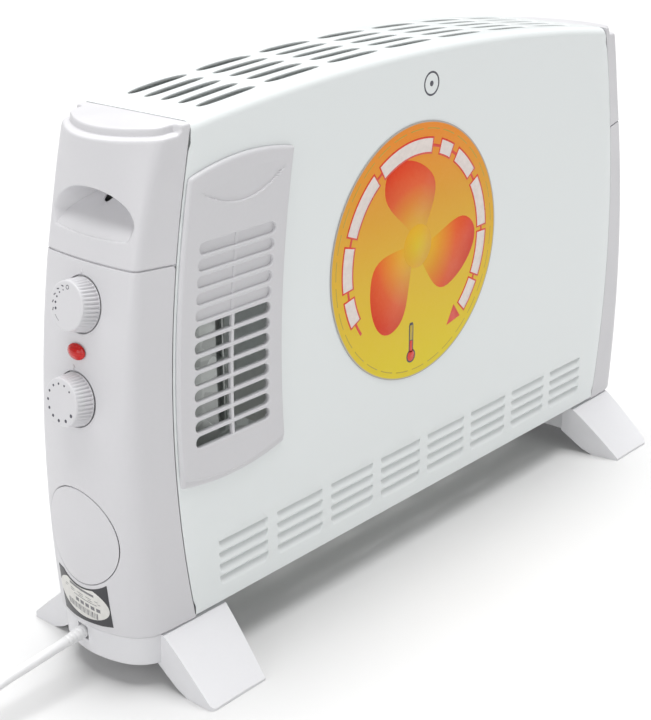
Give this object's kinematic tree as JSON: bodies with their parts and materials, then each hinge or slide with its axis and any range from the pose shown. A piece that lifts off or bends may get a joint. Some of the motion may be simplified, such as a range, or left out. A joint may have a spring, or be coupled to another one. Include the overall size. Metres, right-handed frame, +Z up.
{
  "type": "fan convector heater",
  "caption": "Free-standing convector heater with an arched steel casing, plastic end caps, a side fan grille, two dials, splayed feet and a coiled mains lead.",
  "frame": {"origin": "on the floor, under the middle of the heater's bounding box, the lead and plug left out", "axes": "+Z up; +X along the casing, away from the end with the controls; the front with the grille faces -Y"},
  "size_m": [0.7877, 0.2075, 0.3835],
  "materials": {
    "enamel": "smooth white stove enamel",
    "plastic": "fine satin moulding",
    "black_plastic": "moulded",
    "red_lens": "clear red, faceted",
    "zinc": "zinc plated",
    "iron": "laminated electrical steel",
    "copper": "enamelled winding wire",
    "brass": "sintered bush",
    "mica": "pressed mica sheet",
    "nichrome": "oxidised resistance ribbon",
    "sticker": "printed vinyl film",
    "label": "printed film",
    "cord": "soft white PVC sheath"
  },
  "bodies": {
    "casing": {"front_panel": "enamel", "back_panel": "enamel", "bottom_plate": "zinc", "front_grille": "plastic", "left_end_plate": "zinc", "right_end_plate": "zinc", "left_cap_upper": "plastic", "left_cap_lower": "plastic", "right_cap_upper": "plastic", "right_cap_lower": "plastic", "timer_blank": "plastic", "rating_label": "label", "left_foot": "plastic", "right_foot": "plastic", "left_foot_screw_1": "zinc", "left_foot_screw_2": "zinc", "right_foot_screw_1": "zinc", "right_foot_screw_2": "zinc", "back_screw_1": "zinc", "back_screw_2": "zinc", "back_screw_3": "zinc", "back_screw_4": "zinc", "back_screw_5": "zinc", "back_screw_6": "zinc", "front_sticker": "sticker", "control_bracket": "zinc", "mode_switch": "black_plastic", "thermostat": "black_plastic", "pilot_lamp_lens": "red_lens", "pilot_lamp_body": "black_plastic", "blower_scroll": "zinc", "blower_upper_plate": "zinc", "blower_lower_plate": "zinc", "lower_bearing": "brass", "upper_bearing": "brass", "motor_stator": "iron", "motor_coil": "copper", "motor_bracket": "zinc", "mica_board_front": "mica", "mica_board_rear": "mica", "heating_ribbon_front": "nichrome", "heating_ribbon_rear": "nichrome", "element_bracket_left": "zinc", "element_bracket_right": "zinc", "thermal_cutout": "black_plastic", "terminal_block": "black_plastic", "inner_lead": "cord", "cord_gland": "cord", "power_cord": "cord", "cord_coil": "cord", "plug": "cord"},
    "mode_dial": {"mode_knob": "plastic", "mode_shaft": "zinc"},
    "thermostat_dial": {"thermostat_knob": "plastic", "thermostat_shaft": "zinc"},
    "blower_rotor": {"impeller": "zinc", "blower_shaft": "zinc", "motor_rotor": "iron"}
  },
  "joints": [
    {"name": "mode_turn", "type": "hinge", "parent": "casing", "child": "mode_dial", "pos_m": [-0.27851, 0, 0.2585], "axis": [-0.9813, 0, 0.1924], "range_deg": [-150, 0]},
    {"name": "thermostat_turn", "type": "hinge", "parent": "casing", "child": "thermostat_dial", "pos_m": [-0.28809, 0, 0.199], "axis": [-0.9921, 0, 0.1253], "range_deg": [-240, 42]},
    {"name": "blower_spin", "type": "hinge", "parent": "casing", "child": "blower_rotor", "pos_m": [-0.19269, -0.004, 0.2], "axis": [0, 0, 1], "continuous": true}
  ]
}
